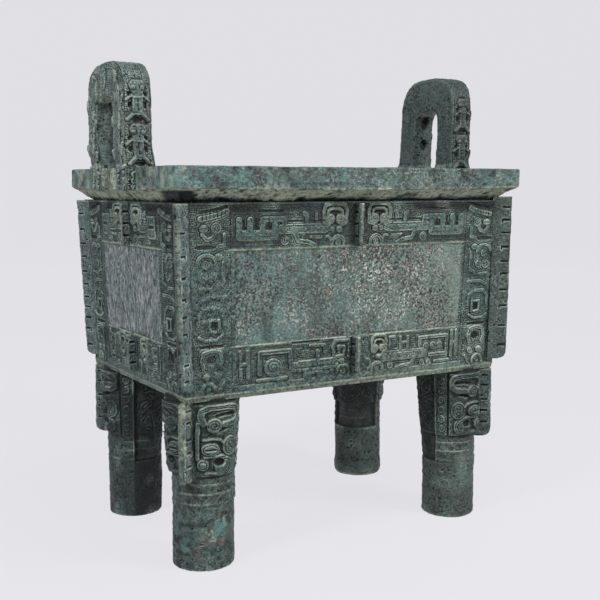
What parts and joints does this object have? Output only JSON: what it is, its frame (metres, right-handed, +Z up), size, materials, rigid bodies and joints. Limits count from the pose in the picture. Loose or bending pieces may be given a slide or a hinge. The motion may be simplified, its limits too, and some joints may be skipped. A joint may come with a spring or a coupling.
{
  "type": "four-legged rectangular bronze cauldron",
  "caption": "Heavy rectangular cooking and ritual vessel on round legs, with upright loop ears on its rim and cast relief ornament.",
  "frame": {"origin": "on the ground, under the middle of the cauldron", "axes": "+Z up; the long sides face -Y and +Y, and the ears stand on the short sides at -X and +X"},
  "size_m": [1.1636, 0.79, 1.33],
  "materials": {
    "bronze": "matt dark green and brown patina with pale and turquoise spots"
  },
  "bodies": {
    "root": {"cauldron": "bronze"}
  },
  "joints": []
}
